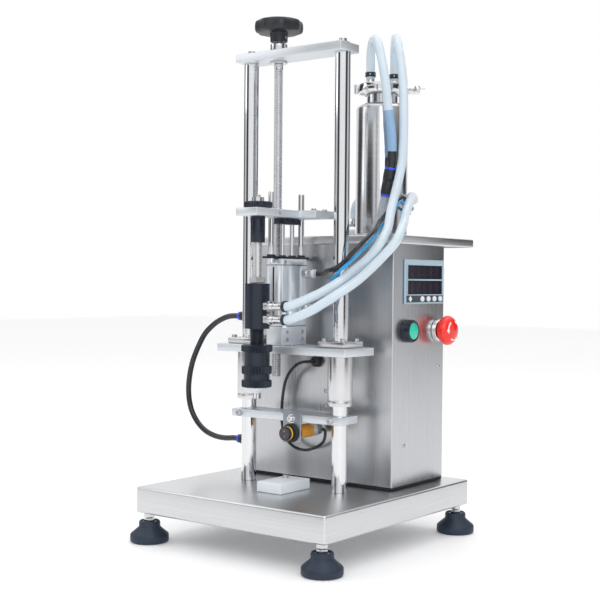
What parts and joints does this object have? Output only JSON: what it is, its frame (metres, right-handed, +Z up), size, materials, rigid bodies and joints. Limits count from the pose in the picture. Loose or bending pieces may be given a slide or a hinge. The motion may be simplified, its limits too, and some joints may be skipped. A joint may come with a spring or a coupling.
{
  "type": "piston liquid filler",
  "caption": "Bench-top single-nozzle liquid filler: tray on levelling feet, two columns, handwheel height screw, air-driven head, cabinet with panel, clamp-lid tank and hoses.",
  "frame": {"origin": "middle of the footprint, on the surface the feet stand on", "axes": "+Z up, -Y is the front (operator's side, nozzle), +X is the operator's right (display panel)"},
  "size_m": [0.4067, 0.3956, 0.685],
  "materials": {
    "brushed_sheet": "brushed stainless sheet",
    "foot_rubber": "dark rubber",
    "chrome_shaft": "ground and chromed",
    "anodised_plate": "clear anodised",
    "turned_steel": "turned stainless",
    "black_plastic": "moulded, slight sheen",
    "brass_nut": "turned",
    "white_plastic": "machined",
    "orange_plastic": "moulded",
    "pump_casting": "as cast",
    "panel_membrane": "printed membrane",
    "key_rubber": "moulded",
    "green_button": "moulded, glossy",
    "red_button": "moulded, glossy",
    "silicone_hose": "translucent silicone",
    "black_tube": "smooth",
    "blue_tube": "smooth polyurethane"
  },
  "bodies": {
    "base": {"base_tray": "brushed_sheet", "column_left": "chrome_shaft", "column_right": "chrome_shaft", "top_beam": "anodised_plate", "screw_bearing": "turned_steel", "cabinet_shell": "brushed_sheet", "cabinet_cover": "brushed_sheet", "vacuum_pump": "pump_casting", "display_panel": "panel_membrane", "start_collar": "turned_steel", "stop_collar": "turned_steel", "tank_body": "brushed_sheet", "tank_lid": "turned_steel", "tank_clamp": "turned_steel", "rear_ports": "turned_steel", "loop_fitting_upper": "black_plastic", "loop_fitting_lower": "black_plastic", "lead_gland": "black_plastic", "stop_block": "white_plastic", "tank_hose": "silicone_hose", "upper_nozzle_hose": "silicone_hose", "lower_nozzle_hose": "silicone_hose", "air_tube": "black_tube", "blue_tube": "blue_tube", "sensor_lead": "black_tube", "loop_hose": "black_tube"},
    "foot_fl": {"foot_front_left": "foot_rubber"},
    "foot_fr": {"foot_front_right": "foot_rubber"},
    "foot_bl": {"foot_back_left": "foot_rubber"},
    "foot_br": {"foot_back_right": "foot_rubber"},
    "height_screw": {"lead_screw": "turned_steel", "handwheel": "black_plastic"},
    "carriage": {"carriage_plate": "anodised_plate", "bearing_left": "turned_steel", "bearing_right": "turned_steel", "screw_nut": "brass_nut", "cylinder_body": "anodised_plate", "cylinder_cap": "black_plastic"},
    "head": {"head_plate": "anodised_plate", "rod_yoke": "black_plastic", "piston_rod_front": "chrome_shaft", "piston_rod_back": "chrome_shaft", "guide_rod_front": "chrome_shaft", "guide_rod_back": "chrome_shaft", "nozzle_lock_nut": "black_plastic", "nozzle_stem": "turned_steel", "nozzle_body": "black_plastic", "nozzle_barrel": "turned_steel"},
    "cone": {"cone_seal": "white_plastic"},
    "sensor_stage": {"sensor_bar": "anodised_plate", "sensor_bracket": "anodised_plate", "bottle_sensor": "orange_plastic"},
    "start_cap": {"start_button": "green_button"},
    "stop_cap": {"stop_button": "red_button"},
    "clamp_wing": {"wing_nut": "turned_steel"},
    "panel_key_1": {"key_1": "key_rubber"},
    "panel_key_2": {"key_2": "key_rubber"},
    "panel_key_3": {"key_3": "key_rubber"},
    "panel_key_4": {"key_4": "key_rubber"},
    "panel_key_5": {"key_5": "key_rubber"}
  },
  "joints": [
    {"name": "foot_turn_front_left", "type": "hinge", "parent": "base", "child": "foot_fl", "pos_m": [-0.1395, -0.17275, 0.02], "axis": [0, 0, 1], "range_deg": [-1800, 1800]},
    {"name": "foot_turn_front_right", "type": "hinge", "parent": "base", "child": "foot_fr", "pos_m": [0.1395, -0.17275, 0.02], "axis": [0, 0, 1], "range_deg": [-1800, 1800]},
    {"name": "foot_turn_back_left", "type": "hinge", "parent": "base", "child": "foot_bl", "pos_m": [-0.1395, 0.13225, 0.02], "axis": [0, 0, 1], "range_deg": [-1800, 1800]},
    {"name": "foot_turn_back_right", "type": "hinge", "parent": "base", "child": "foot_br", "pos_m": [0.1395, 0.13225, 0.02], "axis": [0, 0, 1], "range_deg": [-1800, 1800]},
    {"name": "carriage_lift", "type": "slide", "parent": "base", "child": "carriage", "axis": [0, 0, 1], "range_m": [-0.01, 0.12], "deforming": ["upper_nozzle_hose", "lower_nozzle_hose", "air_tube", "blue_tube"]},
    {"name": "screw_turn", "type": "hinge", "parent": "base", "child": "height_screw", "pos_m": [-0.035, -0.04225, 0.64], "axis": [0, 0, 1], "range_deg": [-1300, 14800]},
    {"name": "head_lift", "type": "slide", "parent": "carriage", "child": "head", "axis": [0, 0, 1], "range_m": [-0.04, 0]},
    {"name": "cone_press", "type": "slide", "parent": "head", "child": "cone", "axis": [0, 0, 1], "range_m": [0, 0.005], "stiffness_N_per_m": 300, "springref_m": -0.003},
    {"name": "sensor_height", "type": "slide", "parent": "base", "child": "sensor_stage", "axis": [0, 0, 1], "range_m": [-0.045, 0], "deforming": ["sensor_lead"]},
    {"name": "start_press", "type": "slide", "parent": "base", "child": "start_cap", "axis": [-1, 0, 0], "range_m": [0, 0.003], "stiffness_N_per_m": 700, "springref_m": -0.003},
    {"name": "stop_press", "type": "slide", "parent": "base", "child": "stop_cap", "axis": [-1, 0, 0], "range_m": [0, 0.004], "stiffness_N_per_m": 1200, "springref_m": -0.004},
    {"name": "key_press_1", "type": "slide", "parent": "base", "child": "panel_key_1", "axis": [-1, 0, 0], "range_m": [0, 0.0006], "stiffness_N_per_m": 600, "springref_m": -0.0006},
    {"name": "key_press_2", "type": "slide", "parent": "base", "child": "panel_key_2", "axis": [-1, 0, 0], "range_m": [0, 0.0006], "stiffness_N_per_m": 600, "springref_m": -0.0006},
    {"name": "key_press_3", "type": "slide", "parent": "base", "child": "panel_key_3", "axis": [-1, 0, 0], "range_m": [0, 0.0006], "stiffness_N_per_m": 600, "springref_m": -0.0006},
    {"name": "key_press_4", "type": "slide", "parent": "base", "child": "panel_key_4", "axis": [-1, 0, 0], "range_m": [0, 0.0006], "stiffness_N_per_m": 600, "springref_m": -0.0006},
    {"name": "key_press_5", "type": "slide", "parent": "base", "child": "panel_key_5", "axis": [-1, 0, 0], "range_m": [0, 0.0006], "stiffness_N_per_m": 600, "springref_m": -0.0006},
    {"name": "wing_turn", "type": "hinge", "parent": "base", "child": "clamp_wing", "pos_m": [0.08533, 0.10876, 0.6035], "axis": [0.6088, -0.7934, 0], "range_deg": [-1080, 1080]}
  ],
  "couplings": [
    {"joint": "screw_turn", "follows": "carriage_lift", "rad_per_m": 2094.4}
  ]
}
